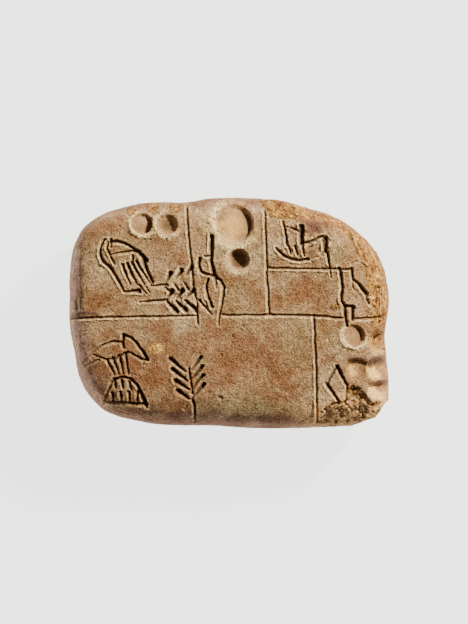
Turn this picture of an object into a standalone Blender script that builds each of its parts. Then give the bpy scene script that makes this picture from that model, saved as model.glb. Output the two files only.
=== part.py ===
"""A small clay tablet with ruled fields, round number dents and incised picture strokes.

It lies on its flattened back with the inscribed face up. Metres, +Z up, and +Y towards the top edge of
the face. The origin is on the underside, below the middle of the tablet.
"""

import math

import bmesh
import bpy
from mathutils import Matrix, Vector, noise

# The tablet's body
WIDTH = 0.075
HEIGHT = 0.0539
THICKNESS = 0.021
RIM_LEVEL = 0.47 * THICKNESS  # height of the widest line above the underside
REST_SPOT = 0.0011  # how much of the back's crown is flattened where the tablet rests
FACE_CROWN = 0.0006  # how much the face swells towards its middle

# Shares and powers of the hand-pressed form
MIDDLE = (0.0375, 0.105)  # where the outline is measured from, as shares of half the width and height
CORNER_POWERS = (2.32, 3.26, 3.35, 14.0)  # squareness: upper right, upper left, lower left, lower right
FACE_POWER = 10.0
LEFT_POWER = 26.0  # towards the left edge the face stays flat for longer
LEFT_SIDE = (178, 30)  # direction and spread in degrees
BACK_POWER = 4.0
EDGE_POWER = 2.1
FACE_SHARE = 0.93  # share of the outline that the block's front and back grids reach
GRID_ACROSS = 18
GRID_ALONG = 13
GRID_DEEP = 7

# Where fingers pressed the edge in or let it swell: direction in degrees, spread in degrees, metres outward
FINGER_MARKS = (
    (53, 6, -0.0005),
    (119, 11, -0.0011),
    (153, 8, 0.0007),
    (199, 8, -0.0009),
    (220, 9, 0.0006),
    (256, 14, -0.0007),
    (346, 9, -0.0012),
)

# The round stylus
SMALL_DENT_RADIUS = 0.0024
LARGE_DENT_RADIUS = 0.0043
SMALL_DENT_DEPTH = 0.0011
LARGE_DENT_DEPTH = 0.0009
BOWL_DENT_DEPTH = 0.0021
DENT_LEAN = 14.0  # degrees from upright in which the stylus was held
DENT_SIDES = 26

# Prints pushed in from above at the right edge, in percent of half the width and height: left and right side,
# then top, foot of the top wall and bottom. The depth is in metres.
SCOOPS = (
    ("left", (72.5, 85.2), (-37, -43.5, -61.5), 0.0014),
    ("middle", (85, 112), (-39, -45, -58.8), 0.0014),
    ("lower", (85.6, 112), (-58.3, -63, -76), 0.0015),
    ("upper", (88, 112), (-17, -21, -38), 0.0006),
)
SCOOP_LIMIT = 93  # beyond this place a scoop no longer follows the falling edge
SCOOP_STEPS = 6

# The pointed stylus
RULE_WIDTH = 0.0006
RULE_DEPTH = 0.0005
STROKE_WIDTH = 0.0008
STROKE_DEPTH = 0.0007
CUTTER_LIFT = 1.6  # how far a stroke's cutter stands above the face, in stroke depths
PATH_STEP = 0.0042

# The breaks
BREAK_ROUGHNESS = 0.0004
BREAK_GRAIN = 0.0027  # size of the lumps in broken clay
BREAK_CELL = 0.0019
SLAB_HEIGHT = 0.002  # how far a break's cutter stands above the tablet
NOTCH_RADIUS = 0.0013

HALF = Vector((WIDTH / 2, HEIGHT / 2))
UNIT = WIDTH / 75  # signs keep their size against the tablet: one unit is a millimetre here


def clear_scene():
    for obj in list(bpy.data.objects):
        bpy.data.objects.remove(obj, do_unlink=True)


def new_collection(name):
    collection = bpy.data.collections.new(name)
    bpy.context.scene.collection.children.link(collection)
    return collection


def object_from_bmesh(name, shape, collection):
    if shape.calc_volume(signed=True) < 0:
        bmesh.ops.reverse_faces(shape, faces=shape.faces)
    mesh = bpy.data.meshes.new(name)
    shape.to_mesh(mesh)
    shape.free()
    obj = bpy.data.objects.new(name, mesh)
    collection.objects.link(obj)
    return obj


# The pressed block: an outline in plan, and one rounded profile from the middle to the rim


def outline_radius(direction):
    """Distance from the middle to the edge, seen from above."""
    cosine, sine = math.cos(direction), math.sin(direction)
    reach_x = HALF.x * (1 - MIDDLE[0]) if cosine > 0 else HALF.x * (1 + MIDDLE[0])
    reach_y = HALF.y * (1 - MIDDLE[1]) if sine > 0 else HALF.y * (1 + MIDDLE[1])
    power = CORNER_POWERS[int(math.degrees(direction) % 360 // 90)]
    radius = (abs(cosine / reach_x) ** power + abs(sine / reach_y) ** power) ** (-1 / power)
    for centre, spread, outward in FINGER_MARKS:
        turn = (math.degrees(direction) - centre + 180) % 360 - 180
        radius += outward * math.exp(-((turn / spread) ** 2))
    return radius


def face_power(direction):
    """How late the face rounds off in this direction."""
    centre, spread = LEFT_SIDE
    turn = (math.degrees(direction) - centre + 180) % 360 - 180
    return FACE_POWER + (LEFT_POWER - FACE_POWER) * math.exp(-((turn / spread) ** 2))


def face_height(share, power):
    """Height of the front at this share of the way from the middle to the edge."""
    share = min(share, 1.0)
    rise = (THICKNESS - RIM_LEVEL) * (1 - share**power) ** (1 / EDGE_POWER)
    return RIM_LEVEL + rise - FACE_CROWN * (share**2 - share**10)


def back_height(share):
    """Height of the back, flattened at zero where the tablet rests."""
    drop = RIM_LEVEL + REST_SPOT
    return max(0.0, RIM_LEVEL - drop * (1 - min(share, 1.0) ** BACK_POWER) ** (1 / EDGE_POWER))


def block_point(u, v, w):
    """Where a point of the unit block goes on the pressed tablet."""
    direction = math.atan2(v * HALF.y, u * HALF.x)
    across = max(abs(u), abs(v))
    power = face_power(direction) if w > 0 else BACK_POWER
    if abs(w) > 0.999:
        share = FACE_SHARE * across
    else:
        steepest = math.acos(FACE_SHARE ** (power / 2))
        share = math.cos(steepest * abs(w)) ** (2 / power)
    height = face_height(share, power) if w > 0 else back_height(share)
    if abs(w) < 0.001:
        height = RIM_LEVEL
    reach = outline_radius(direction) * share
    return Vector(
        (
            MIDDLE[0] * HALF.x + reach * math.cos(direction),
            MIDDLE[1] * HALF.y + reach * math.sin(direction),
            height,
        )
    )


def make_body(collection):
    shape = bmesh.new()
    bmesh.ops.create_cube(shape, size=2.0)
    for axis, cuts in enumerate((GRID_ACROSS, GRID_ALONG, GRID_DEEP)):
        edges = [
            e for e in shape.edges if abs(e.verts[0].co[axis] - e.verts[1].co[axis]) > 1e-6
        ]
        bmesh.ops.subdivide_edges(shape, edges=edges, cuts=cuts, use_grid_fill=True)
    for vertex in shape.verts:
        vertex.co = block_point(*vertex.co)
    return object_from_bmesh("tablet", shape, collection)


def lumpiness(place):
    """Three smooth random numbers, from minus one to one, that belong to this place."""
    return Vector(noise.noise(place / BREAK_GRAIN + Vector((offset, 0, 0))) for offset in (0, 31.7, 67.3))


def surface_at(x, y):
    """Height of the uncut face above the point x, y."""
    offset = Vector((x - MIDDLE[0] * HALF.x, y - MIDDLE[1] * HALF.y))
    direction = math.atan2(offset.y, offset.x)
    return face_height(offset.length / outline_radius(direction), face_power(direction))


def spot(u, v):
    """A place on the face, in percent of half the width and half the height."""
    return Vector((u / 100 * HALF.x, v / 100 * HALF.y))


# Strokes of the pointed stylus, in units from the sign's own centre


def line(*points):
    return [Vector(p) for p in points]


def row(first, last, count):
    """Points spaced evenly between two places."""
    return [Vector(first).lerp(Vector(last), i / (count - 1)) for i in range(count)]


def fringe_sign():
    """A bent flap over a fringe of slanting strokes."""
    strokes = [
        (line((-5.9, 6.9), (-6.8, 5.5), (-7.0, 3.7), (-6.3, 1.9), (-4.9, 0.8)), 0.8, 1.4),
        (line((-4.9, 0.8), (-3.8, -0.6), (-2.6, -2.7), (-1.6, -5.0)), 1.4, 0.8),
        (line((-5.1, 6.3), (-5.4, 4.9), (-4.7, 3.4)), 0.9, 0.8),
        (line((-4.4, 6.9), (-4.5, 5.2)), 1.2, 0.7),
        (line((-4.5, 6.5), (-3.2, 6.6), (-1.6, 6.2), (-0.2, 5.6), (1.9, 4.3)), 1.2, 1.2),
        (line((-4.5, 3.4), (-2.2, 4.0), (0.2, 4.4), (2.2, 4.1)), 0.5, 1.3),
        (line((-4.5, 3.0), (-3.7, 1.3)), 0.8, 0.8),
        (line((0.5, 3.3), (0.5, 2.3)), 0.9, 0.9),
        (line((2.1, 3.8), (3.8, 2.3)), 1.5, 1.6),
        (line((3.2, 2.2), (4.1, -0.4), (5.2, -2.9)), 1.7, 1.0),
        (line((-1.8, -5.2), (0.5, -4.9), (2.2, -4.8)), 0.6, 1.6),
        (line((4.6, -3.7), (7.0, -3.6), (8.4, -3.5)), 0.7, 1.2),
        (line((2.1, -7.6), (5.2, -7.2), (8.4, -6.9)), 0.6, 1.2),
        (line((-0.1, -0.6), (0.8, -2.4)), 0.9, 0.6),
        (line((2.1, -3.6), (3.7, -5.5)), 0.9, 0.5),
        (line((3.7, -4.1), (4.4, -5.3)), 0.7, 0.5),
    ]
    for top, bottom in zip(row((-1.7, 1.2), (1.5, 1.9), 4), row((0.0, -3.6), (4.9, -3.6), 4)):
        strokes.append((line(top, bottom), 1.3, 0.5))
    return strokes


def herringbone_sign():
    """Three slanting strokes, three bent ones and three more below."""
    ranks = (
        (row((-1.9, 3.7), (2.8, 5.1), 3), row((-3.4, 1.3), (1.3, 3.1), 3), 1.7, 0.6),
        (row((-3.6, 0.4), (1.0, 1.3), 3), row((-2.4, -0.6), (1.9, 0.0), 3), 0.7, 1.0),
        (row((-1.7, -0.4), (3.2, -0.2), 3), row((-3.0, -2.3), (1.4, -2.2), 3), 1.9, 0.6),
        (row((-2.9, -3.0), (1.2, -2.6), 3), row((-0.7, -5.0), (3.5, -4.6), 3), 0.9, 1.9),
    )
    return [
        (line(start, end), head, tail)
        for starts, ends, head, tail in ranks
        for start, end in zip(starts, ends)
    ]


def sack_sign():
    """A tall stroke on a hanging pointed shape with ribs."""
    shoulder = line((-2.6, 5.0), (-3.0, 3.7), (-2.4, 1.9), (-1.0, 1.3), (0.8, 0.9), (2.1, 0.0), (3.0, -1.8))
    return [
        (line((0.2, 9.9), (0.1, 6.4), (0.0, 4.5), (0.8, 1.1)), 1.8, 1.4),
        (shoulder, 1.2, 1.1),
        (line((3.0, -1.8), (2.8, -3.8), (2.3, -6.3), (1.8, -8.4), (1.6, -10.3)), 1.1, 0.6),
        (line((-1.6, 5.5), (-0.2, 5.6)), 0.8, 1.0),
        (line((-0.6, 0.2), (-1.2, -1.2), (-0.8, -3.6), (0.2, -6.2)), 1.0, 1.2),
        (line((1.0, 0.4), (1.2, -2.2)), 1.0, 0.5),
        (line((-2.8, -4.7), (-1.8, -5.9), (0.0, -8.0)), 1.0, 0.7),
        (line((-1.4, -5.1), (-0.8, -6.5)), 0.8, 0.5),
    ]


def boat_sign():
    """A shallow bowl with posts and a box above it."""
    strokes = [
        (line((-4.7, 5.3), (-4.3, 3.3), (-4.1, 1.6), (-3.9, -0.2)), 1.0, 1.1),
        (line((-4.2, 4.1), (-3.1, 3.9), (-1.0, 2.9)), 0.6, 0.9),
        (line((-0.4, 4.2), (-0.3, 0.3)), 1.9, 1.9),
        (line((-0.3, 0.4), (0.8, 0.5), (2.6, 1.2), (3.4, 1.7), (4.6, 2.0)), 1.2, 1.1),
        (line((5.2, 1.5), (5.2, -1.4)), 2.3, 1.9),
        (line((5.2, 2.0), (6.1, 0.9)), 0.9, 0.6),
        (line((5.6, -1.9), (6.0, -5.2), (6.2, -7.7)), 1.4, 0.5),
        (line((-6.2, -0.9), (-4.8, -2.5), (-2.8, -3.4), (-0.6, -3.6), (1.0, -3.4)), 1.2, 1.1),
        (line((1.0, -3.4), (4.8, -2.6)), 0.4, 0.4),
        (line((4.1, -2.5), (4.8, -1.6)), 0.9, 0.9),
    ]
    for top, bottom in zip(row((-3.5, -0.4), (-0.2, -0.4), 3), row((-3.0, -2.1), (0.1, -2.7), 3)):
        strokes.append((line(top, bottom), 1.2, 0.7))
    return strokes


def jar_sign():
    """Two long necks beside a curling handle."""
    return [
        (line((-2.6, 5.0), (-2.3, 2.6), (-2.0, 0.3), (-2.3, -1.1), (-2.2, -2.6), (-1.5, -3.6)), 1.3, 1.2),
        (line((-1.5, -3.6), (0.6, -3.9)), 1.2, 1.4),
        (line((-1.5, -3.7), (-1.4, -6.2), (-1.0, -8.3)), 1.4, 1.0),
        (line((0.3, -3.9), (0.3, -6.9)), 1.4, 1.1),
        (line((0.2, 4.9), (0.2, 4.3), (0.4, 2.5)), 1.1, 1.2),
        (line((0.2, 2.4), (0.3, 0.7), (0.8, -0.1)), 0.7, 0.6),
        (line((0.4, 2.5), (1.7, 1.5), (2.6, 0.3), (3.7, -0.8)), 1.1, 1.8),
        (line((3.7, -0.8), (3.6, -2.1), (4.3, -3.3)), 1.1, 0.6),
        (line((0.1, 5.9), (0.8, 6.6), (1.4, 6.5)), 0.5, 0.5),
    ]


def lozenge_sign():
    return [
        (line((-0.3, 4.1), (-2.6, 0.2)), 1.0, 0.9),
        (line((-0.1, 4.0), (2.0, 0.0)), 1.8, 1.3),
        (line((-2.6, 0.1), (0.3, -4.1)), 1.6, 1.2),
        (line((2.2, -0.1), (2.0, -1.8), (1.7, -4.5), (3.2, -5.9)), 1.1, 0.7),
    ]


def bird_sign():
    """A long-beaked bird, drawn in outline with two pairs of leg strokes."""
    strokes = [
        (line((-7.8, -3.5), (-5.7, -1.0), (-3.0, 1.1), (-0.8, 1.9), (1.5, 1.8)), 0.4, 1.0),
        (line((2.1, 3.5), (1.7, 1.9), (2.0, 0.5)), 1.3, 0.9),
        (line((2.1, 3.5), (3.7, 2.8), (4.9, 1.5), (6.4, -0.4), (7.5, -2.2)), 1.0, 1.3),
        (line((7.5, -2.2), (6.4, -2.3), (4.5, -1.2), (3.1, -0.5)), 1.2, 0.8),
        (line((6.5, -2.4), (6.5, -3.4)), 0.8, 0.5),
        (line((3.1, -0.5), (0.9, -1.4), (0.0, -2.1), (-2.2, -2.2), (-5.1, -1.1)), 0.9, 0.7),
        (line((-3.8, -2.2), (-5.3, -3.0), (-7.3, -3.8)), 0.7, 0.4),
    ]
    for top, bottom in zip(row((-1.8, -2.4), (2.4, -0.8), 4), row((-0.3, -5.7), (3.1, -5.6), 4)):
        strokes.append((line(top, bottom), 1.2, 0.6))
    return strokes


def mound_sign():
    """A domed heap with two rows of ticks."""
    left_side = line((-5.2, -2.9), (-4.1, -0.4), (-3.0, 2.3), (-1.8, 3.1), (-0.2, 3.4))
    right_side = line((-0.2, 3.4), (1.4, 2.9), (2.7, 1.6), (3.7, -0.4), (4.9, -3.1))
    strokes = [(left_side, 0.6, 1.1), (right_side, 1.1, 1.5), (line((-5.1, -2.4), (4.9, -2.8)), 0.8, 1.2)]
    for top, bottom in zip(row((-2.4, 2.9), (1.0, 2.2), 3), row((-2.3, 0.8), (1.3, 0.4), 3)):
        strokes.append((line(top, bottom), 1.3, 0.8))
    for top, bottom in zip(row((-3.0, -0.4), (2.8, -0.1), 4), row((-2.8, -1.9), (2.8, -2.0), 4)):
        strokes.append((line(top, bottom), 1.2, 0.9))
    return strokes


def branch_sign():
    """A stem with four leaves on each side, pressed deeper at their tips."""
    strokes = [
        (line((-0.2, 2.9), (0.1, 0.4), (0.5, -2.7)), 0.9, 1.0),
        (line((0.6, -4.1), (1.0, -5.5), (1.2, -9.4)), 1.1, 0.9),
        (line((0.2, -4.6), (-1.5, -6.4)), 0.5, 0.4),
    ]
    for tip, joint in zip(row((-4.4, 5.2), (-2.6, -2.2), 4), row((-1.0, 2.3), (0.2, -4.2), 4)):
        strokes.append((line(tip, joint), 1.8, 0.8))
    for tip, joint in zip(row((2.7, 5.6), (3.4, -0.6), 4), row((0.4, 2.7), (0.4, -4.1), 4)):
        strokes.append((line(tip, joint), 1.5, 0.7))
    return strokes


SIGNS = (
    (fringe_sign, (-60.6, 37.4)),
    (herringbone_sign, (-30.0, 20.9)),
    (sack_sign, (-10.6, 28.7)),
    (boat_sign, (46.3, 59.1)),
    (jar_sign, (75.6, 20.0)),
    (lozenge_sign, (67.5, -60.9)),
    (bird_sign, (-70.0, -31.3)),
    (mound_sign, (-63.8, -67.0)),
    (branch_sign, (-23.8, -58.3)),
)

# The ruled lines that part the face into fields, in percent of half the width and half the height
RULES = (
    ((-97, -4.6), (-76, -3.2), (-45, -2.6), (-20, -1.8)),
    ((-4, -1.2), (25, -1.4), (52.5, -2.0), (70, -4.1)),
    ((76.5, -4.5), (94.5, -3.6)),
    ((-25.8, 93), (-24.7, 67), (-22.6, 41.5), (-22.1, 24), (-19.4, 9), (-18.9, -8.5)),
    ((22.3, 87), (23.5, 40), (25.2, -1.5)),
    ((52.6, -3.2), (53.7, -39), (54.9, -94)),
    ((24.3, 39.2), (44, 38.3), (74.6, 38)),
)


def stylus_profile(name, width, depth, collection):
    """The V that a stylus leaves, as a closed outline for a curve's bevel."""
    lift = depth * CUTTER_LIFT
    spread = width / 2 * (1 + CUTTER_LIFT)
    data = bpy.data.curves.new(name, "CURVE")
    data.dimensions = "2D"
    spline = data.splines.new("POLY")
    spline.points.add(2)
    for point, (x, y) in zip(spline.points, ((0, -depth), (spread, lift), (-spread, lift))):
        point.co = (x, y, 0, 1)
    spline.use_cyclic_u = True
    obj = bpy.data.objects.new(name, data)
    obj.hide_render = True
    collection.objects.link(obj)
    return obj


def resampled(points):
    """The same path with a point at least every PATH_STEP, so that it can follow the face."""
    path = [points[0]]
    for start, end in zip(points, points[1:]):
        steps = max(1, math.ceil((end - start).length / PATH_STEP))
        path += [start.lerp(end, (i + 1) / steps) for i in range(steps)]
    return path


def stroke_cutter(name, points, head, tail, profile, collection):
    """A closed wedge along the path, as deep as the profile times head at its start and tail at its end."""
    path = resampled(points)
    data = bpy.data.curves.new(name, "CURVE")
    data.dimensions = "3D"
    data.twist_mode = "Z_UP"
    data.bevel_mode = "OBJECT"
    data.bevel_object = profile
    data.use_fill_caps = True
    spline = data.splines.new("POLY")
    spline.points.add(len(path) - 1)
    for number, (point, place) in enumerate(zip(spline.points, path)):
        point.co = (place.x, place.y, surface_at(place.x, place.y), 1)
        point.radius = head + (tail - head) * number / (len(path) - 1)
    curve = bpy.data.objects.new(name + "_path", data)
    collection.objects.link(curve)
    return solid_from_curve(name, curve, collection)


def solid_from_curve(name, curve, collection):
    graph = bpy.context.evaluated_depsgraph_get()
    mesh = bpy.data.meshes.new_from_object(curve.evaluated_get(graph))
    shape = bmesh.new()
    shape.from_mesh(mesh)
    bmesh.ops.remove_doubles(shape, verts=shape.verts, dist=1e-6)
    bmesh.ops.recalc_face_normals(shape, faces=shape.faces)
    bpy.data.meshes.remove(mesh)
    solid = object_from_bmesh(name, shape, collection)
    solid.matrix_world = curve.matrix_world
    bpy.data.objects.remove(curve, do_unlink=True)
    return solid


def cut_strokes(collection):
    rule = stylus_profile("rule_profile", RULE_WIDTH, RULE_DEPTH, collection)
    pointed = stylus_profile("stroke_profile", STROKE_WIDTH, STROKE_DEPTH, collection)
    for number, corners in enumerate(RULES):
        path = [spot(*corner) for corner in corners]
        stroke_cutter(f"rule_{number}", path, 1.0, 1.0, rule, collection)
    for draw, place in SIGNS:
        centre = spot(*place)
        for number, (points, head, tail) in enumerate(draw()):
            path = [centre + point * UNIT for point in points]
            stroke_cutter(f"{draw.__name__}_{number}", path, head, tail, pointed, collection)
    for profile in (rule, pointed):
        bpy.data.objects.remove(profile, do_unlink=True)


# Dents of the round stylus


def upright_on_face(place):
    """Position and turn of a tool held square to the face at this place."""
    step = 0.0005
    centre = spot(*place)
    slope_x = surface_at(centre.x + step, centre.y) - surface_at(centre.x - step, centre.y)
    slope_y = surface_at(centre.x, centre.y + step) - surface_at(centre.x, centre.y - step)
    normal = Vector((-slope_x, -slope_y, 2 * step)).normalized()
    turn = Vector((0, 0, 1)).rotation_difference(normal).to_matrix().to_4x4()
    return Matrix.Translation((centre.x, centre.y, surface_at(centre.x, centre.y))) @ turn


def flat_dent(name, place, radius, depth, direction, lean, collection):
    """The print of the stylus's flat end, deeper on the side that it leans towards."""
    shape = bmesh.new()
    length = 0.006
    bmesh.ops.create_cone(
        shape, cap_ends=True, segments=DENT_SIDES, radius1=radius * 0.9, radius2=radius * 1.12, depth=length
    )
    bmesh.ops.translate(shape, verts=shape.verts, vec=(0, 0, length / 2 - depth))
    obj = object_from_bmesh(name, shape, collection)
    tilt = Matrix.Rotation(math.radians(direction), 4, "Z") @ Matrix.Rotation(math.radians(lean), 4, "Y")
    obj.matrix_world = upright_on_face(place) @ tilt
    return obj


def bowl_dent(name, place, radius, depth, collection):
    """The print of the stylus's rounded end."""
    shape = bmesh.new()
    bmesh.ops.create_uvsphere(shape, u_segments=DENT_SIDES, v_segments=14, radius=1.0)
    bmesh.ops.scale(shape, verts=shape.verts, vec=(radius, radius, depth))
    obj = object_from_bmesh(name, shape, collection)
    obj.matrix_world = upright_on_face(place)
    return obj


def cut_dents(collection):
    small, large = SMALL_DENT_RADIUS, LARGE_DENT_RADIUS
    flat_dent("dent_shallow", (-53.4, 76.8), small, SMALL_DENT_DEPTH, -10, DENT_LEAN, collection)
    bowl_dent("dent_round", (-37.9, 75.8), small, BOWL_DENT_DEPTH, collection)
    flat_dent("dent_large", (3.4, 77.0), large, LARGE_DENT_DEPTH, 0, DENT_LEAN / 3, collection)
    bowl_dent("dent_deep", (6.2, 45.7), small, BOWL_DENT_DEPTH, collection)
    flat_dent("dent_lower", (77.4, -19), small, SMALL_DENT_DEPTH, -15, DENT_LEAN, collection)
    for name, sides, slopes, depth in SCOOPS:
        scoop("scoop_" + name, sides, slopes, depth, collection)


def scoop(name, sides, slopes, depth, collection):
    """A print with a steep top wall and a floor that rises towards its bottom edge: a bent three-sided prism."""
    left, right = sides
    top, foot, bottom = slopes
    shape = bmesh.new()
    bmesh.ops.create_cone(shape, cap_ends=True, segments=3, radius1=1.0, radius2=1.0, depth=1.0)
    upright = [e for e in shape.edges if abs(e.verts[0].co.z - e.verts[1].co.z) > 0.5]
    bmesh.ops.subdivide_edges(shape, edges=upright, cuts=SCOOP_STEPS - 1)
    for vertex in shape.verts:
        u = left + (right - left) * (0.5 - vertex.co.z)
        v, side = foot, -1
        if vertex.co.y < 0:
            v, side = (2 * top - foot, 1) if vertex.co.x > 0 else (2 * bottom - foot, 1)
        place = spot(u, v)
        level = surface_at(*spot(min(u, SCOOP_LIMIT), max(v, bottom)))
        vertex.co = (place.x, place.y, level + side * depth)
    return object_from_bmesh(name, shape, collection)


# Broken clay


def along(corners, share):
    """The place at this share of a path of corners, each side counting the same."""
    whole = share * (len(corners) - 1)
    side = min(int(whole), len(corners) - 2)
    return corners[side].lerp(corners[side + 1], whole - side)


def rough_break(name, edge, outward, breadth, drop, slope, collection):
    """A slab with a lumpy underside that takes the face off from its edge outward.

    drop is how deep the break begins at its edge, and slope how much steeper than the face it falls from there,
    in degrees.
    """
    corners = [spot(*corner) for corner in edge]
    length = sum((b - a).length for a, b in zip(corners, corners[1:]))
    heading = Vector(outward).normalized()
    fall = math.tan(math.radians(slope))
    shape = bmesh.new()
    bmesh.ops.create_cube(shape, size=1.0)
    bmesh.ops.translate(shape, verts=shape.verts, vec=(0.5, 0.5, 0.5))
    for axis, size in enumerate((length, breadth)):
        edges = [e for e in shape.edges if abs(e.verts[0].co[axis] - e.verts[1].co[axis]) > 1e-6]
        bmesh.ops.subdivide_edges(shape, edges=edges, cuts=math.ceil(size / BREAK_CELL), use_grid_fill=True)
    for vertex in shape.verts:
        start = along(corners, vertex.co.x)
        place = start + heading * breadth * vertex.co.y
        base = surface_at(place.x, place.y) - drop - fall * breadth * vertex.co.y
        if vertex.co.z > 0.5:
            vertex.co = (place.x, place.y, THICKNESS + SLAB_HEIGHT)
        else:
            lump = lumpiness(place.to_3d())
            vertex.co = (place.x, place.y, base + lump.x * BREAK_ROUGHNESS * (1 + abs(lump.y)))
            vertex.co.xy += lump.yz * BREAK_ROUGHNESS
    return object_from_bmesh(name, shape, collection)


def notch(name, place, size, collection):
    """A small knocked-out hollow in an edge."""
    shape = bmesh.new()
    bmesh.ops.create_icosphere(shape, subdivisions=2, radius=NOTCH_RADIUS * size)
    centre = spot(*place)
    for vertex in shape.verts:
        vertex.co += lumpiness(vertex.co + centre.to_3d()) * BREAK_ROUGHNESS
    obj = object_from_bmesh(name, shape, collection)
    obj.matrix_world = Matrix.Translation((centre.x, centre.y, surface_at(centre.x, centre.y)))
    return obj


def snapped_corner(name, outline, collection):
    """An upright block that takes away everything outside the outline of a lost corner."""
    data = bpy.data.curves.new(name, "CURVE")
    data.dimensions = "2D"
    data.fill_mode = "BOTH"
    data.extrude = THICKNESS / 2 + SLAB_HEIGHT
    spline = data.splines.new("POLY")
    spline.points.add(len(outline) - 1)
    for point, corner in zip(spline.points, outline):
        point.co = (*spot(*corner), 0, 1)
    spline.use_cyclic_u = True
    curve = bpy.data.objects.new(name + "_outline", data)
    collection.objects.link(curve)
    curve.matrix_world = Matrix.Translation((0, 0, THICKNESS / 2))
    return solid_from_curve(name, curve, collection)


def cut_breaks(collection):
    top_edge = ((19, 97), (22.5, 88), (34, 80), (46.6, 81.9), (58.1, 80.6), (66, 75), (77.9, 59.6))
    right_edge = ((76, 66), (82.2, 43.1), (85, 26.4), (87.9, 11), (90, -13))
    corner_edge = ((108, -76.5), (88, -78), (80, -66), (72, -76), (59, -82), (53, -98))
    rough_break("break_top", top_edge, (0.45, 0.89), 0.009, 0.0004, 5, collection)
    rough_break("break_right", right_edge, (0.93, 0.36), 0.009, 0.0004, 5, collection)
    rough_break("break_corner", corner_edge, (0.4, -0.92), 0.012, 0.0008, 16, collection)
    lost = ((112, -74.5), (99.6, -75.2), (93.8, -80), (93.4, -84.3), (90.6, -89.6), (81.3, -94.8), (66, -98.5))
    snapped_corner("corner_lost", lost + ((40, -104), (40, -130), (112, -130)), collection)
    notch("notch_top", (36, 90), 1.0, collection)
    notch("notch_edge", (29, 93), 0.8, collection)
    notch("notch_right", (93, -9), 1.2, collection)


def clay_material():
    material = bpy.data.materials.new("clay")
    material.use_nodes = True
    shader = material.node_tree.nodes["Principled BSDF"]
    shader.inputs["Base Color"].default_value = (0.38, 0.23, 0.13, 1)
    shader.inputs["Roughness"].default_value = 0.85
    shader.inputs["Metallic"].default_value = 0.0
    return material


def main():
    clear_scene()
    parts = new_collection("clay_tablet")
    cutters = new_collection("cutters")
    tablet = make_body(parts)
    tablet.data.materials.append(clay_material())
    cut_strokes(cutters)
    cut_dents(cutters)
    cut_breaks(cutters)
    for cutter in cutters.objects:
        cutter.hide_render = True
        cutter.display_type = "WIRE"
    carving = tablet.modifiers.new("carving", "BOOLEAN")
    carving.operation = "DIFFERENCE"
    carving.solver = "EXACT"
    carving.operand_type = "COLLECTION"
    carving.collection = cutters


main()
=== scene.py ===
"""The looks of a small clay tablet: one fine clay mesh for its solid, with clay, light and camera.

Metres. +X runs to the right of the face, +Y towards its top edge and +Z out of it.
"""

import math

import bmesh
import bpy
import numpy as np
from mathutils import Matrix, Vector


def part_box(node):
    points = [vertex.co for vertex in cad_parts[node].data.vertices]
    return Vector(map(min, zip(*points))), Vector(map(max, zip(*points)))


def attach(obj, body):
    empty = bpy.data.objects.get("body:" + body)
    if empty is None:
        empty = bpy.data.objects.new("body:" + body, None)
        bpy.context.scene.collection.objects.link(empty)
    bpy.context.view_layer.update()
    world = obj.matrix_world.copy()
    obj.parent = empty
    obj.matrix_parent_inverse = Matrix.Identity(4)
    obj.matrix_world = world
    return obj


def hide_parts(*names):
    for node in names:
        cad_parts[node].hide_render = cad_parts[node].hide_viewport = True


UNITS_ACROSS = 75  # the signs are drawn in this many units to the tablet's width
MM = 1000  # millimetres to a metre

# The photograph, in pixels
PHOTO_WIDTH = 468
PHOTO_HEIGHT = 624
TABLET_WIDTH_PX = 320
TABLET_CENTRE_PX = (229, 313)

# The pressed form: shares and powers as in the solid
MIDDLE = (0.0375, 0.105)  # where the outline is centred, as shares of half the width and half the height
CORNER_POWERS = np.array((2.32, 3.26, 3.35, 14.0))  # upper right, upper left, lower left, lower right
FACE_POWER = 10.0
LEFT_POWER = 26.0  # the face stays flat for longer towards its left edge
LEFT_DIRECTION = 178  # degrees
LEFT_SPREAD = 30.0  # degrees
BACK_POWER = 4.0
EDGE_POWER = 2.1
FACE_SHARE = 0.93
RIM_SHARE = 0.47
REST_SPOT = 0.0011
FACE_CROWN = 0.0006
CROWN_POWER = 10
NEARLY = 0.001  # tolerance for telling the unit block's faces and edges apart

# Hollows and swellings that fingers left in the outline: direction and spread in degrees, and shift outward
FINGER_MARKS = (
    (53, 6, -0.0005),
    (119, 11, -0.0011),
    (153, 8, 0.0007),
    (199, 8, -0.0009),
    (220, 9, 0.0006),
    (256, 14, -0.0007),
    (346, 9, -0.0012),
)

# Marks of the two styluses
SMALL_DENT_RADIUS = 0.0024
LARGE_DENT_RADIUS = 0.0043
SMALL_DENT_DEPTH = 0.0011
LARGE_DENT_DEPTH = 0.0009
BOWL_DENT_DEPTH = 0.0021
DENT_LEAN = 14.0
DENT_WALL = (0.9, 1.04)  # where a flat dent's wall starts and ends, as shares of its radius
BOWL_POWER = 0.8
DENT_RIM = 0.00045
RIM_PUSH = 0.55  # a rim has this share of its height at the sides, more at the lower left, none opposite
RIM_SEAT = 1.24  # the rim's crest, as a share of the dent's radius
RIM_SPREAD = 0.2
RULE_WIDTH = 0.00066
RULE_DEPTH = 0.0006
STROKE_WIDTH = 0.00074
STROKE_DEPTH = 0.0007
STEEPNESS = 2.5  # of a stroke's walls: 1 is a plain V
SLOPED_WALL = 0.4  # how much broader and gentler the lower left wall is than the other
BROAD_GAIN = 0.5  # how much deeper a stroke of twice the usual breadth is
BURR_BREADTH = 0.0002
BURR_SHARE = 0.42  # height of the clay pushed up beside a stroke, as a share of the stroke's depth
EVEN_BURR = 0.6  # mean of both sides, as a share of that height
UNEVEN_BURR = 0.4  # how much higher the lower left side is than the mean, and the other one lower
LOWER_BURR = 0.45  # the signs of the lower half were drawn in firmer clay

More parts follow.
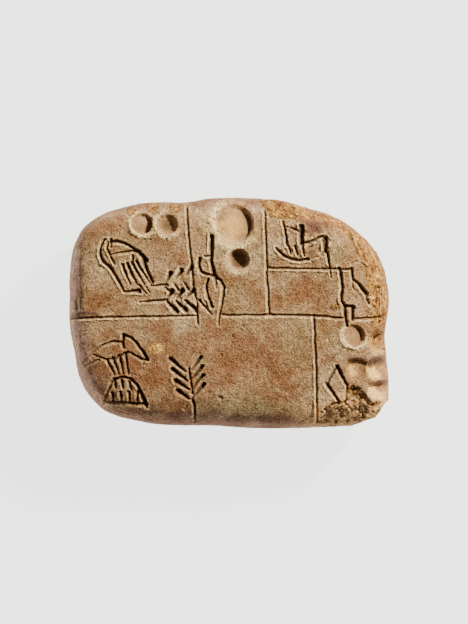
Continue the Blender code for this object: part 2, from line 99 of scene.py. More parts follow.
# How unsteady the marks are: the sizes of two waves and how far they shift each kind of mark
WOBBLE_SIZE = 0.0022
WOBBLE = 0.00009
TREMOR_SIZE = 0.0006
TREMOR = 0.00007
LOOSE_WOBBLE = 0.0002  # added for cracks and for prints in broken clay
PIT_TREMOR = 0.0001  # added for pits
RAGGED_SIZE = 0.0007  # of the lumps along a burr
BURR_FADE = 0.0001  # depth of groove in which a burr dies away

# Sizes of the fine mesh's triangles
FINE_EDGE = 0.00024
MIDDLE_EDGE = 0.00045
PLAIN_EDGE = 0.0009
SIDE_EDGE = 0.0009
BACK_EDGE = 0.002
FACE_ZONE = 0.8  # the face's triangles are above this share of the thickness
SIDE_ZONE = 0.3  # and the back's below this one
BLOCK_CUTS = (17, 12, 6)  # of the coarse block along X, Y and Z
TIE_BREAK = 1e-9  # makes one of two equal edges the longer

# The map of wanted triangle sizes on the face, and the least relief that asks for smaller ones
MAP_CELL = 0.00015
MAP_MARGIN = 2  # cells
SLIGHT_BEND = 0.00004
SHARP_BEND = 0.00012
VISIBLE_CHIP = 0.00005
ROUGH_SHARE = 0.3
RIM_HEIGHT = 0.35 * BURR_SHARE * RULE_DEPTH

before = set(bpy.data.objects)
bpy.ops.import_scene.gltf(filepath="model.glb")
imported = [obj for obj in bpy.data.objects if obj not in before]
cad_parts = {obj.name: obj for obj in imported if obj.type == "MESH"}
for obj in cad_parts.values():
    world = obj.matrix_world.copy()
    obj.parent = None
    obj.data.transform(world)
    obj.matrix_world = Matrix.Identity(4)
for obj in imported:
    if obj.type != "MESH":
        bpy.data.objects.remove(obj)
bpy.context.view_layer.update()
low, high = (np.array(corner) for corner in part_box("tablet"))
HALF = (high[:2] - low[:2]) / 2
CENTRE = (high[:2] + low[:2]) / 2
THICKNESS = high[2]
RIM_LEVEL = RIM_SHARE * THICKNESS
UNIT = HALF[0] * 2 / UNITS_ACROSS
ORIGIN = CENTRE + MIDDLE * HALF

# Random fields: large numbers that scramble a cell's place, and the bits that are kept
CELL_FACTORS = (73856093, 19349663, 83492791)
SEED_FACTOR = 2654435761
SCRAMBLES = ((13, 1274126177), (16, 2246822519))
KEPT_BITS = 0x7FFFFFFFFFFF
UNUSED_BITS = 20
LAST_BITS = 0xFFFF

# Turns each octave of a fractal against the one before, so that their cells don't line up
TURN = np.array(((0.36, 0.48, -0.8), (-0.8, 0.6, 0.0), (0.48, 0.64, 0.6)))

# Chunks of broken clay, in cells: how far their middles stray, the breadth of their borders, out of reach
CHUNK_SCATTER = 0.45
CHUNK_BORDER = 0.15
CHUNK_FAR = 9.0


def lattice(cell, seed):
    """A random value from minus one to one for each whole-numbered cell."""
    mixed = (cell * CELL_FACTORS).sum(axis=1) + seed * SEED_FACTOR
    for shift, factor in SCRAMBLES:
        mixed = (mixed ^ (mixed >> shift)) * factor & KEPT_BITS
    return ((mixed >> UNUSED_BITS) & LAST_BITS) / (LAST_BITS / 2) - 1


def smooth_noise(points, size, seed):
    """Random values that flow smoothly from each cell of this size to the next."""
    grid = points / size
    cell = np.floor(grid).astype(np.int64)
    part = grid - cell
    part = part**3 * (part * (part * 6 - 15) + 10)
    total = np.zeros(len(points))
    for corner in np.ndindex(2, 2, 2):
        weight = np.where(corner, part, 1 - part).prod(axis=1)
        total += weight * lattice(cell + corner, seed)
    return total


def fractal(points, size, octaves, seed):
    """Noise of several sizes, each half as big and half as strong as the one before."""
    total = np.zeros(len(points))
    for octave in range(octaves):
        points = points @ TURN
        total += smooth_noise(points, size / 2**octave, seed + octave) / 2**octave
    return total


def flat(xy):
    """Points on the plane as points in space."""
    return np.column_stack((xy, np.zeros(len(xy))))


def chunks(xy, size, seed):
    """Random flat chunks: each point's chunk height, from minus one to one, and nearness to a border."""
    grid = xy / size
    home = np.floor(grid).astype(np.int64)
    nearest = np.full(len(xy), CHUNK_FAR)
    second = np.full(len(xy), CHUNK_FAR)
    height = np.zeros(len(xy))
    for step in np.ndindex(3, 3):
        cell = flat(home + step - 1).astype(np.int64)
        stray = np.column_stack((lattice(cell, seed), lattice(cell, seed + 1)))
        seat = cell[:, :2] + 0.5 + CHUNK_SCATTER * stray
        distance = np.hypot(*(grid - seat).T)
        lean = np.column_stack((lattice(cell, seed + 2), lattice(cell, seed + 3)))
        tilt = ((grid - seat) * lean).sum(axis=1)
        closer = distance < nearest
        second = np.where(closer, nearest, np.minimum(second, distance))
        nearest = np.where(closer, distance, nearest)
        height = np.where(closer, lattice(cell, seed + 4) + tilt, height)
    return height, np.exp(-(((second - nearest) / CHUNK_BORDER) ** 2))


def smooth_step(value, start, end):
    """Nought up to the start, one from the end on, and smooth between them."""
    t = np.clip((value - start) / (end - start), 0, 1)
    return t * t * (3 - 2 * t)


# The pressed form


def outline_radius(direction):
    """How far the outline lies from the origin in each direction."""
    cosine, sine = np.cos(direction), np.sin(direction)
    reach_x = HALF[0] * np.where(cosine > 0, 1 - MIDDLE[0], 1 + MIDDLE[0])
    reach_y = HALF[1] * np.where(sine > 0, 1 - MIDDLE[1], 1 + MIDDLE[1])
    power = CORNER_POWERS[(np.degrees(direction) % 360 // 90).astype(int) % 4]
    radius = (abs(cosine / reach_x) ** power + abs(sine / reach_y) ** power) ** (-1 / power)
    for centre, spread, outward in FINGER_MARKS:
        turn = (np.degrees(direction) - centre + 180) % 360 - 180
        radius += outward * np.exp(-((turn / spread) ** 2))
    return radius


def face_power(direction):
    """How late the face rounds off in this direction."""
    turn = (np.degrees(direction) - LEFT_DIRECTION) % 360
    turn = np.minimum(turn, 360 - turn)
    return FACE_POWER + (LEFT_POWER - FACE_POWER) * np.exp(-((turn / LEFT_SPREAD) ** 2))


def face_height(share, power):
    """Height of the face at this share of the way to the outline."""
    share = np.minimum(share, 1)
    rise = THICKNESS - RIM_LEVEL
    sunk = FACE_CROWN * (share**2 - share**CROWN_POWER)
    return RIM_LEVEL + rise * (1 - share**power) ** (1 / EDGE_POWER) - sunk


def back_height(share):
    """Height of the back at this share of the way to the outline."""
    drop = RIM_LEVEL + REST_SPOT
    return np.maximum(0, RIM_LEVEL - drop * (1 - np.minimum(share, 1) ** BACK_POWER) ** (1 / EDGE_POWER))


def press(block):
    """Where points of the unit block go on the pressed tablet."""
    u, v, w = block.T
    direction = np.arctan2(v * HALF[1], u * HALF[0])
    power = np.where(w > 0, face_power(direction), BACK_POWER)
    steepest = np.arccos(FACE_SHARE ** (power / 2))
    on_side = np.cos(steepest * abs(w)) ** (2 / power)
    share = np.where(abs(w) > 1 - NEARLY, FACE_SHARE * np.maximum(abs(u), abs(v)), on_side)
    height = np.where(w > 0, face_height(share, power), back_height(share))
    height = np.where(abs(w) < NEARLY, RIM_LEVEL, height)
    reach = outline_radius(direction) * share
    place = ORIGIN + reach[:, None] * np.column_stack((np.cos(direction), np.sin(direction)))
    return np.column_stack((place, height))


def spot(u, v):
    """A place on the face, in percent of half the width and half the height."""
    return CENTRE + np.array((u, v)) / 100 * HALF


def percent(xy):
    """The same the other way round: places on the face as rows of percents."""
    return ((xy - CENTRE) / HALF * 100).T


# Strokes of the pointed stylus, in units from the sign's own centre, with their breadths at both ends. The
# breadths are shares of STROKE_WIDTH.


def line(*points):
    """A path through these places."""
    return np.array(points, float)


def rank(first, last, count, head, tail):
    """Evenly spaced strokes from the first to the last, each given by its two ends."""
    return [(path, head, tail) for path in np.linspace(first, last, count)]


def fringe_sign():
    """A bent flap over a fringe of slanting strokes."""
    return [
        (line((-5.9, 6.9), (-6.8, 5.5), (-7.0, 3.7), (-6.3, 1.9), (-4.9, 0.8)), 0.8, 1.4),
        (line((-4.9, 0.8), (-3.8, -0.6), (-2.6, -2.7), (-1.6, -5.0)), 1.4, 0.8),
        (line((-5.1, 6.3), (-5.4, 4.9), (-4.7, 3.4)), 0.9, 0.8),
        (line((-4.4, 6.9), (-4.5, 5.2)), 1.2, 0.7),
        (line((-4.5, 6.5), (-3.2, 6.6), (-1.6, 6.2), (-0.2, 5.6), (1.9, 4.3)), 1.2, 1.2),
        (line((-4.5, 3.4), (-2.2, 4.0), (0.2, 4.4), (2.2, 4.1)), 0.5, 1.3),
        (line((-4.5, 3.0), (-3.7, 1.3)), 0.8, 0.8),
        (line((0.5, 3.3), (0.5, 2.3)), 0.9, 0.9),
        (line((2.1, 3.8), (3.8, 2.3)), 1.5, 1.6),
        (line((3.2, 2.2), (4.1, -0.4), (5.2, -2.9)), 1.7, 1.0),
        (line((-1.8, -5.2), (0.5, -4.9), (2.2, -4.8)), 0.6, 1.6),
        (line((4.6, -3.7), (7.0, -3.6), (8.4, -3.5)), 0.7, 1.2),
        (line((2.1, -7.6), (5.2, -7.2), (8.4, -6.9)), 0.6, 1.2),
        (line((-0.1, -0.6), (0.8, -2.4)), 0.9, 0.6),
        (line((2.1, -3.6), (3.7, -5.5)), 0.9, 0.5),
        (line((3.7, -4.1), (4.4, -5.3)), 0.7, 0.5),
    ] + rank(((-1.7, 1.2), (0.0, -3.6)), ((1.5, 1.9), (4.9, -3.6)), 4, 1.3, 0.5)


def herringbone_sign():
    """Three slanting strokes, three bent ones and three more below."""
    return (
        rank(((-1.9, 3.7), (-3.4, 1.3)), ((2.8, 5.1), (1.3, 3.1)), 3, 1.7, 0.6)
        + rank(((-3.6, 0.4), (-2.4, -0.6)), ((1.0, 1.3), (1.9, 0.0)), 3, 0.7, 1.0)
        + rank(((-1.7, -0.4), (-3.0, -2.3)), ((3.2, -0.2), (1.4, -2.2)), 3, 1.9, 0.6)
        + rank(((-2.9, -3.0), (-0.7, -5.0)), ((1.2, -2.6), (3.5, -4.6)), 3, 0.9, 1.9)
    )


def sack_sign():
    """A tall stroke on a hanging pointed shape with ribs."""
    shoulder = line((-2.6, 5.0), (-3.0, 3.7), (-2.4, 1.9), (-1.0, 1.3), (0.8, 0.9), (2.1, 0.0), (3.0, -1.8))
    return [
        (line((0.2, 9.9), (0.1, 6.4), (0.0, 4.5), (0.8, 1.1)), 1.8, 1.4),
        (shoulder, 1.2, 1.1),
        (line((3.0, -1.8), (2.8, -3.8), (2.3, -6.3), (1.8, -8.4), (1.6, -10.3)), 1.1, 0.6),
        (line((-1.6, 5.5), (-0.2, 5.6)), 0.8, 1.0),
        (line((-0.6, 0.2), (-1.2, -1.2), (-0.8, -3.6), (0.2, -6.2)), 1.0, 1.2),
        (line((1.0, 0.4), (1.2, -2.2)), 1.0, 0.5),
        (line((-2.8, -4.7), (-1.8, -5.9), (0.0, -8.0)), 1.0, 0.7),
        (line((-1.4, -5.1), (-0.8, -6.5)), 0.8, 0.5),
    ]


def boat_sign():
    """A shallow bowl with posts and a box above it."""
    return [
        (line((-4.7, 5.3), (-4.3, 3.3), (-4.1, 1.6), (-3.9, -0.2)), 1.0, 1.1),
        (line((-4.2, 4.1), (-3.1, 3.9), (-1.0, 2.9)), 0.6, 0.9),
        (line((-0.4, 4.2), (-0.3, 0.3)), 1.9, 1.9),
        (line((-0.3, 0.4), (0.8, 0.5), (2.6, 1.2), (3.4, 1.7), (4.6, 2.0)), 1.2, 1.1),
        (line((5.2, 1.5), (5.2, -1.4)), 2.3, 1.9),
        (line((5.2, 2.0), (6.1, 0.9)), 0.9, 0.6),
        (line((5.6, -1.9), (6.0, -5.2), (6.2, -7.7)), 1.4, 0.5),
        (line((-6.2, -0.9), (-4.8, -2.5), (-2.8, -3.4), (-0.6, -3.6), (1.0, -3.4)), 1.2, 1.1),
        (line((1.0, -3.4), (4.8, -2.6)), 0.4, 0.4),
        (line((4.1, -2.5), (4.8, -1.6)), 0.9, 0.9),
    ] + rank(((-3.5, -0.4), (-3.0, -2.1)), ((-0.2, -0.4), (0.1, -2.7)), 3, 1.2, 0.7)


def jar_sign():
    """Two long necks beside a curling handle."""
    return [
        (line((-2.6, 5.0), (-2.3, 2.6), (-2.0, 0.3), (-2.3, -1.1), (-2.2, -2.6), (-1.5, -3.6)), 1.3, 1.2),
        (line((-1.5, -3.6), (0.6, -3.9)), 1.2, 1.4),
        (line((-1.5, -3.7), (-1.4, -6.2), (-1.0, -8.3)), 1.4, 1.0),
        (line((0.3, -3.9), (0.3, -6.9)), 1.4, 1.1),
        (line((0.2, 4.9), (0.2, 4.3), (0.4, 2.5)), 1.1, 1.2),
        (line((0.2, 2.4), (0.3, 0.7), (0.8, -0.1)), 0.7, 0.6),
        (line((0.4, 2.5), (1.7, 1.5), (2.6, 0.3), (3.7, -0.8)), 1.1, 1.8),
        (line((3.7, -0.8), (3.6, -2.1), (4.3, -3.3)), 1.1, 0.6),
        (line((0.1, 5.9), (0.8, 6.6), (1.4, 6.5)), 0.5, 0.5),
    ]


def lozenge_sign():
    """A lozenge with a trailing lower right side."""
    return [
        (line((-0.3, 4.1), (-2.6, 0.2)), 1.0, 0.9),
        (line((-0.1, 4.0), (2.0, 0.0)), 1.8, 1.3),
        (line((-2.6, 0.1), (0.3, -4.1)), 1.6, 1.2),
        (line((2.2, -0.1), (2.0, -1.8), (1.7, -4.5), (3.2, -5.9)), 1.1, 0.7),
    ]


def bird_sign():
    """A long-beaked bird, drawn in outline with two pairs of leg strokes."""
    return [
        (line((-7.8, -3.5), (-5.7, -1.0), (-3.0, 1.1), (-0.8, 1.9), (1.5, 1.8)), 0.4, 1.0),
        (line((2.1, 3.5), (1.7, 1.9), (2.0, 0.5)), 1.3, 0.9),
        (line((2.1, 3.5), (3.7, 2.8), (4.9, 1.5), (6.4, -0.4), (7.5, -2.2)), 1.0, 1.3),
        (line((7.5, -2.2), (6.4, -2.3), (4.5, -1.2), (3.1, -0.5)), 1.2, 0.8),
        (line((6.5, -2.4), (6.5, -3.4)), 0.8, 0.5),
        (line((3.1, -0.5), (0.9, -1.4), (0.0, -2.1), (-2.2, -2.2), (-5.1, -1.1)), 0.9, 0.7),
        (line((-3.8, -2.2), (-5.3, -3.0), (-7.3, -3.8)), 0.7, 0.4),
    ] + rank(((-1.8, -2.4), (-0.3, -5.7)), ((2.4, -0.8), (3.1, -5.6)), 4, 1.2, 0.6)


def mound_sign():
    """A domed heap with two rows of ticks."""
    left_side = line((-5.2, -2.9), (-4.1, -0.4), (-3.0, 2.3), (-1.8, 3.1), (-0.2, 3.4))
    right_side = line((-0.2, 3.4), (1.4, 2.9), (2.7, 1.6), (3.7, -0.4), (4.9, -3.1))
    strokes = [(left_side, 0.6, 1.1), (right_side, 1.1, 1.5), (line((-5.1, -2.4), (4.9, -2.8)), 0.8, 1.2)]
    strokes += rank(((-2.4, 2.9), (-2.3, 0.8)), ((1.0, 2.2), (1.3, 0.4)), 3, 1.3, 0.8)
    strokes += rank(((-3.0, -0.4), (-2.8, -1.9)), ((2.8, -0.1), (2.8, -2.0)), 4, 1.2, 0.9)
    return strokes


def branch_sign():
    """A stem with four leaves on each side, pressed deeper at their tips."""
    strokes = [
        (line((-0.2, 2.9), (0.1, 0.4), (0.5, -2.7)), 0.9, 1.0),
        (line((0.6, -4.1), (1.0, -5.5), (1.2, -9.4)), 1.1, 0.9),
        (line((0.2, -4.6), (-1.5, -6.4)), 0.5, 0.4),
    ]
    strokes += rank(((-4.4, 5.2), (-1.0, 2.3)), ((-2.6, -2.2), (0.2, -4.2)), 4, 1.8, 0.8)
    strokes += rank(((2.7, 5.6), (0.4, 2.7)), ((3.4, -0.6), (0.4, -4.1)), 4, 1.5, 0.7)
    return strokes


# What is drawn where: each sign and its centre, in percent of half the width and half the height
SIGNS = (
    (fringe_sign, (-60.6, 37.4)),
    (herringbone_sign, (-30.0, 20.9)),
    (sack_sign, (-10.6, 28.7)),
    (boat_sign, (46.3, 59.1)),
    (jar_sign, (75.6, 20.0)),
    (lozenge_sign, (67.5, -60.9)),
    (bird_sign, (-70.0, -31.3)),
    (mound_sign, (-63.8, -67.0)),
    (branch_sign, (-23.8, -58.3)),
)

# The ruled lines, by the same percents
RULES = (
    ((-97, -4.6), (-76, -3.2), (-45, -2.6), (-20, -1.8)),
    ((-4, -1.2), (25, -1.4), (52.5, -2.0), (70, -4.1)),
    ((76.5, -4.5), (94.5, -3.6)),
    ((-25.8, 93), (-24.7, 67), (-22.6, 41.5), (-22.1, 24), (-19.4, 9), (-18.9, -8.5)),
    ((22.3, 87), (23.5, 40), (25.2, -1.5)),
    ((52.6, -3.2), (53.7, -39), (54.9, -94)),
    ((24.3, 39.2), (44, 38.3), (74.6, 38)),
)

# Fine cracks and scratches: their corners, width and depth in millimetres
SCRATCH_TAIL = 0.6  # breadth at the far end, as a share of the breadth at the start
SCRATCHES = (
    (((-91.1, 60), (-91.6, 30), (-91.1, -2)), 0.35, 0.10),
    (((-94.4, 13), (-94.0, 1)), 0.30, 0.14),
    (((-71.9, -82.3), (-56.9, -88.3), (-34.5, -91.7), (-10.7, -94.5)), 0.35, 0.10),
    (((42.9, -94.8), (52.5, -88.1)), 0.22, 0.16),
    (((-41.2, 92), (-41.6, 87), (-40.9, 82.5)), 0.22, 0.20),
)

# Small pits: place, radius and depth in millimetres
PITS = (
    ((-4.6, -36), 0.35, 0.25),
    ((8.6, -11.6), 0.4, 0.28),
    ((7.1, -14.5), 0.3, 0.2),
    ((1.9, -20), 0.35, 0.22),
    ((1.7, -25.6), 0.3, 0.22),
    ((2.9, -7.4), 0.3, 0.2),
    ((-5.4, -73), 0.6, 0.35),
    ((-48.8, 62.6), 0.35, 0.25),
    ((-52.1, 62.6), 0.3, 0.2),
    ((-38.6, 63.1), 0.3, 0.2),
    ((-67.7, 74.8), 0.35, 0.25),
    ((-72.8, 74.4), 0.3, 0.2),
    ((60.6, -23.5), 0.3, 0.18),
)


def all_strokes():
    """Every stroke: its path in metres, width, depth, breadths at both ends, and how much clay it raised."""
    strokes = [([spot(*corner) for corner in rule], RULE_WIDTH, RULE_DEPTH, 1.0, 1.0, 1.0) for rule in RULES]
    for draw, place in SIGNS:
        for points, head, tail in draw():
            raised = 1.0 if place[1] > 0 else LOWER_BURR
            path = spot(*place) + points * UNIT
            strokes.append((path, STROKE_WIDTH, STROKE_DEPTH, head, tail, raised))
    return strokes


def stroke_relief(xy, path, width, depth, head, tail, raised=0.0):
    """Depth of one stroke, and height of the clay pushed up beside it, at each point."""
    groove, burr = np.zeros(len(xy)), np.zeros(len(xy))
    path = np.array(path)
    lengths = np.hypot(*np.diff(path, axis=0).T)
    done = np.concatenate(([0], np.cumsum(lengths))) / lengths.sum()
    widest = width / 2 * max(head, tail)
    for start, end, first, last in zip(path, path[1:], done, done[1:]):
        reach = abs(end - start).max() / 2 + 3 * widest
        near = np.flatnonzero((abs(xy - (start + end) / 2) < reach).all(axis=1))
        away = xy[near] - start
        span = end - start
        along = np.clip(away @ span / (span @ span), 0, 1)
        size = head + (tail - head) * (first + (last - first) * along)
        apart = away - along[:, None] * span
        leant = np.tanh(-(apart[:, 0] + apart[:, 1]) / (width / 4))
        half = width / 2 * size * (1 + SLOPED_WALL * leant)
        share = np.hypot(*apart.T) / half
        deep = depth * np.minimum(size, (1 - BROAD_GAIN) + BROAD_GAIN * size)
        wall = np.clip(1 - share ** (STEEPNESS * (1 - SLOPED_WALL * leant)), 0, 1)
        groove[near] = np.maximum(groove[near], deep * wall)
        beyond = (share - 1) * half - BURR_BREADTH
        crest = raised * deep * BURR_SHARE * (EVEN_BURR + UNEVEN_BURR * leant)
        burr[near] = np.maximum(burr[near], crest * np.exp(-((beyond / BURR_BREADTH) ** 2)))
    return groove, burr


def dent_relief(xy, place, radius, depth, direction=0.0, lean=0.0, bowl=False):
    """Depth of a round print, and height of its raised rim, at each point."""
    offset = xy - spot(*place)
    share = np.hypot(*offset.T) / radius
    turn = math.radians(direction)
    ahead = offset @ (math.cos(turn), math.sin(turn))
    if bowl:
        groove = depth * np.sqrt(np.clip(1 - share**2, 0, 1)) ** BOWL_POWER
    else:
        floor = np.maximum(0, depth + ahead * math.tan(math.radians(lean)))
        groove = floor * (1 - smooth_step(share, *DENT_WALL))
    pushed = RIM_PUSH - RIM_PUSH * (offset / radius) @ (0.7, 0.7)
    rim = DENT_RIM * pushed * np.exp(-(((share - RIM_SEAT) / RIM_SPREAD) ** 2))
    return groove, np.maximum(rim, 0)


def round_dents():
    """Prints of the round stylus: place, radius, depth, direction and lean, and whether each is a bowl."""
    small, large = SMALL_DENT_RADIUS, LARGE_DENT_RADIUS
    return [
        ((-53.4, 76.8), small, SMALL_DENT_DEPTH * 0.85, -10, DENT_LEAN * 1.2, False),
        ((-37.9, 75.8), small, BOWL_DENT_DEPTH * 0.8, 0, 0, True),
        ((3.4, 77.0), large, LARGE_DENT_DEPTH, 0, DENT_LEAN * 0.7, False),
        ((6.2, 45.7), small, BOWL_DENT_DEPTH, 0, 0, True),
        ((77.4, -19), small, SMALL_DENT_DEPTH * 0.75, -15, DENT_LEAN * 1.2, False),
    ]


# Prints at the broken right edge: left, right, top, foot of the top wall and bottom on the face, and depth
TROUGHS = (
    (72.0, 85.6, -36.5, -43.5, -62.0, 0.0014),
    (84.6, 112, -38.0, -44.5, -59.0, 0.0018),
    (85.2, 112, -57.8, -62.0, -76.5, 0.0020),
    (87.5, 112, -16.5, -21.0, -38.0, 0.0006),
)
TROUGH_BOW = 2.5  # percent by which a print's top wall hangs down at its ends
TROUGH_FLOOR_POWER = 1.3
TROUGH_SIDE_POWER = 4
TROUGH_ROUNDING = 0.6


def trough_relief(xy, left, right, top, foot, bottom, depth):
    """Depth of a print pushed in from above: a steep top wall and a floor that rises towards its bottom."""
    u, v = percent(xy)
    middle, reach = (left + right) / 2, (right - left) / 2
    side = abs((u - middle) / reach)
    bowed = v + TROUGH_BOW * side**3
    wall = smooth_step(top - bowed, 0, top - foot)
    floor = 1 - smooth_step(foot - v, 0, foot - bottom) ** TROUGH_FLOOR_POWER
    across = np.clip(1 - side**TROUGH_SIDE_POWER, 0, 1) ** TROUGH_ROUNDING
    return depth * wall * floor * across


def marks(xy):
    """Depths of strokes, of all prints and of the round ones, and height of pushed-up clay at each point."""
    wobble = np.column_stack([smooth_noise(flat(xy), WOBBLE_SIZE, seed) for seed in (11, 12)])
    tremor = np.column_stack([smooth_noise(flat(xy), TREMOR_SIZE, seed) for seed in (13, 14)])
    moved = xy + wobble * WOBBLE + tremor * TREMOR
    loose = moved + wobble * LOOSE_WOBBLE
    groove, burr, dent = np.zeros(len(xy)), np.zeros(len(xy)), np.zeros(len(xy))
    for stroke in all_strokes():
        cut, pushed = stroke_relief(moved, *stroke)
        groove, burr = np.maximum(groove, cut), np.maximum(burr, pushed)
    for corners, width, depth in SCRATCHES:
        path = [spot(*corner) for corner in corners]
        cut, _ = stroke_relief(loose, path, width / MM, depth / MM, 1.0, SCRATCH_TAIL)
        groove = np.maximum(groove, cut)
    for dent_print in round_dents():
        cut, pushed = dent_relief(moved, *dent_print)
        dent, burr = np.maximum(dent, cut), np.maximum(burr, pushed)
    printed = dent
    for trough in TROUGHS:
        dent = np.maximum(dent, trough_relief(loose, *trough))
    for place, radius, depth in PITS:
        cut, _ = dent_relief(moved + tremor * PIT_TREMOR, place, radius / MM, depth / MM, bowl=True)
        groove = np.maximum(groove, cut)
    ragged = 0.85 + 0.6 * smooth_noise(flat(xy), RAGGED_SIZE, 15)
    burr *= ragged * np.exp(-np.maximum(groove, dent) / BURR_FADE)
    return groove, dent, printed, burr


# The broken zones: their inner edge on the face, walked clockwise, the drop behind it, slope and roughness
BREAKS = (
    (((19, 104), (19, 97), (22.5, 88), (28.8, 82), (34, 80), (46.6, 81.9), (58.1, 80.6), (66, 75),
      (75.9, 62.6), (82.2, 43.1), (85, 26.4), (87.9, 11), (89, -4), (86.5, -6), (87, -12),
      (106, -13)), 0.0002, 5, 0.00030),
    (((112, -75), (99.3, -76), (87.8, -77), (84.8, -69), (80, -63), (74, -63), (72, -74), (66, -77),
      (59, -82), (53, -92), (50, -104)), 0.0008, 14, 0.00042),
)

# The outline of the snapped-off lower right corner, walked clockwise
SNAPPED_CORNER = (
    (108, -74.5), (99.6, -75.2), (93.8, -80), (93.4, -84.3), (90.6, -87), (90.6, -89.6), (85, -92.2),
    (81.3, -94.8), (76.3, -97.8), (66, -98.5), (56, -99.5), (40, -104),
)
SNAP_OVERHANG = 0.2  # points beyond that outline keep this share of their distance from it

# Chips knocked out of the edges and the face: place, radius and depth in millimetres
CHIPS = (
    ((36, 90), 1.3, 1.2),
    ((29, 93), 1.0, 1.0),
    ((92.5, -23), 2.2, 1.9),
    ((-45.3, -30.4), 1.3, 0.14),
    ((-60, 88), 1.2, 0.4),
    ((-47, 91), 1.5, 0.45),
    ((-33, 90), 1.2, 0.4),
    ((66, 6), 1.4, 0.18),
)
CHIP_ROUGHNESS = 0.28

# Noises: size in metres, octaves and seed
RAGGED_EDGE = (0.0016, 3, 21)
STREAKS = (0.0010, 3, 25)
COARSE_LUMPS = (0.0027, 4, 51)
CHIP_NOISE = (0.0009, 3, 61)
STAIN_EDGE = (0.004, 4, 71)
BROAD_SWELL = (0.011, 3, 81)
NARROW_SWELL = (0.0035, 2, 85)
CRUMB_NOISE = (0.0012, 3, 91)
JAGGED_EDGE = (0.0016, 2, 95)

# Random chunks of broken clay: size in metres and seed
CHUNKS = (0.0015, 31)
GRIT = (0.0006, 41)

# Heights, depths and reaches of those forms, in metres
RAGGED_REACH = 0.0004
BREAK_STEP = (-0.00005, 0.00035)
STREAK_TURN = 0.008  # length of a streak's arc to the radian
BROAD_HEIGHT = 0.00022
NARROW_HEIGHT = 0.00011
JAGGED_REACH = 0.0003
CHIP_STEP = (0.00003, 0.0002)
SWELL_FREE = 0.002  # the swell fades out below this height, so the rest spot stays flat
KEPT_PRINT = 0.0004  # a print this deep keeps its smooth floor in a broken zone

# A crease that runs down the left edge, in percent, and its step in metres
CREASE = (90.2, 92.2)
CREASE_END = (-12, 4)
CREASE_STEP = 0.0002
CREASE_WANDER = 0.3  # percent for each tenth of a millimetre of swell

# Slopes, by the upward part of a point's normal: facing up, level enough to show all roughness, steep
FACING_UP = (0.0, 0.35)
LEVEL = (0.1, 0.6)
STEEP = (0.1, 0.75)
SIDE_ROUGHNESS = 0.3


def edge_distance(xy, corners):
    """Distance to a chain of places, positive on the left of the way along it, and the nearest place."""
    nearest, side, seat = np.full(len(xy), np.inf), np.ones(len(xy)), np.zeros((len(xy), 2))
    path = [spot(*corner) for corner in corners]
    for start, end in zip(path, path[1:]):
        span, away = end - start, xy - start
        along = np.clip(away @ span / (span @ span), 0, 1)
        place = start + along[:, None] * span
        distance = np.hypot(*(xy - place).T)
        closer = distance < nearest
        side[closer] = np.sign(span[0] * away[:, 1] - span[1] * away[:, 0])[closer]
        seat[closer] = place[closer]
        nearest = np.minimum(nearest, distance)
    return nearest * side, seat


def broken_relief(xy, edge, drop, slope, rough):
    """How broken the clay is, from nought to one, how far it has dropped and how rough it is."""
    ragged = fractal(flat(xy), *RAGGED_EDGE) * RAGGED_REACH
    beyond = edge_distance(xy, edge)[0] + ragged
    share = smooth_step(beyond, *BREAK_STEP)
    offset = xy - ORIGIN
    turned = np.column_stack((np.hypot(*offset.T), np.arctan2(offset[:, 1], offset[:, 0]) * STREAK_TURN))
    streaks = fractal(flat(turned), *STREAKS)
    lumps, border = chunks(xy + ragged[:, None], *CHUNKS)
    grit, _ = chunks(xy, *GRIT)
    coarse = fractal(flat(xy), *COARSE_LUMPS)
    bumpy = 0.8 * lumps + 0.6 * streaks + 0.5 * grit - 0.4 * border + 0.6 * coarse
    dropped = drop + math.tan(math.radians(slope)) * np.maximum(beyond, 0)
    return share, share * dropped, share * rough * bumpy


def chip_depth(xy):
    """Depth of the deepest chip at each point."""
    total = np.zeros(len(xy))
    rough = fractal(flat(xy), *CHIP_NOISE)
    for place, radius, depth in CHIPS:
        share = np.hypot(*(xy - spot(*place)).T) / (radius / MM) + CHIP_ROUGHNESS * rough
        bowl = depth / MM * np.sqrt(np.clip(1 - share**2, 0, 1))
        total = np.maximum(total, bowl * (1 + 0.25 * rough))
    return total


# The fine mesh


def coarse_block():
    """The unit block as points and triangles."""
    shape = bmesh.new()
    bmesh.ops.create_cube(shape, size=2.0)
    for axis, cuts in enumerate(BLOCK_CUTS):
        edges = [e for e in shape.edges if abs(e.verts[0].co[axis] - e.verts[1].co[axis]) > NEARLY]
        bmesh.ops.subdivide_edges(shape, edges=edges, cuts=cuts, use_grid_fill=True)
    bmesh.ops.triangulate(shape, faces=shape.faces)
    shape.verts.ensure_lookup_table()
    points = np.array([v.co for v in shape.verts])
    triangles = np.array([[v.index for v in f.verts] for f in shape.faces])
    shape.free()
    return points, triangles


